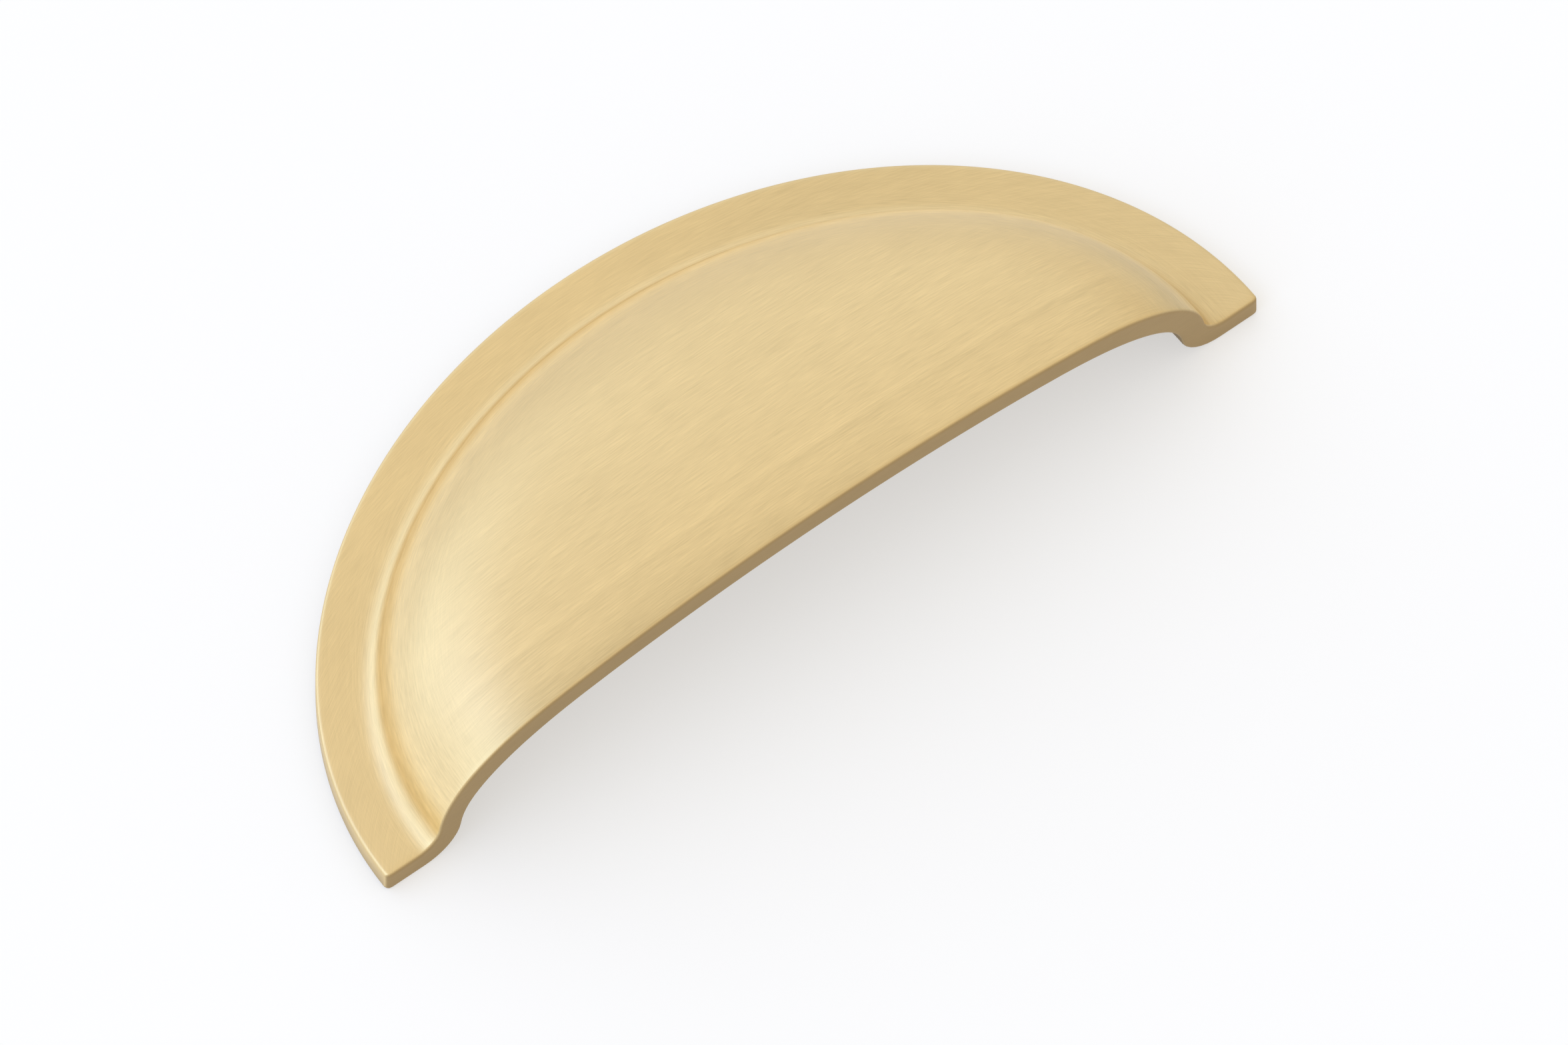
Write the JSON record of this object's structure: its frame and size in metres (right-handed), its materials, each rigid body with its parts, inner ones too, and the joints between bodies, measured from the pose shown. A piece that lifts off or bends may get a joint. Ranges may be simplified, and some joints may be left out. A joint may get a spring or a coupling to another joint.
{
  "type": "cup drawer pull",
  "caption": "Half-moon brass cup pull with a flat rim and a domed hollow, open along one straight side, fixed by screws from behind.",
  "frame": {"origin": "midway between the two screw holes, on the back plane that lies against the drawer front", "axes": "+X along the width and the lip, +Y towards the top of the arch, +Z out of the drawer front towards the hand"},
  "size_m": [0.105, 0.042, 0.02],
  "materials": {
    "brushed_brass": "satin, brushed along the lip"
  },
  "bodies": {
    "root": {"pull_body": "brushed_brass"}
  },
  "joints": []
}
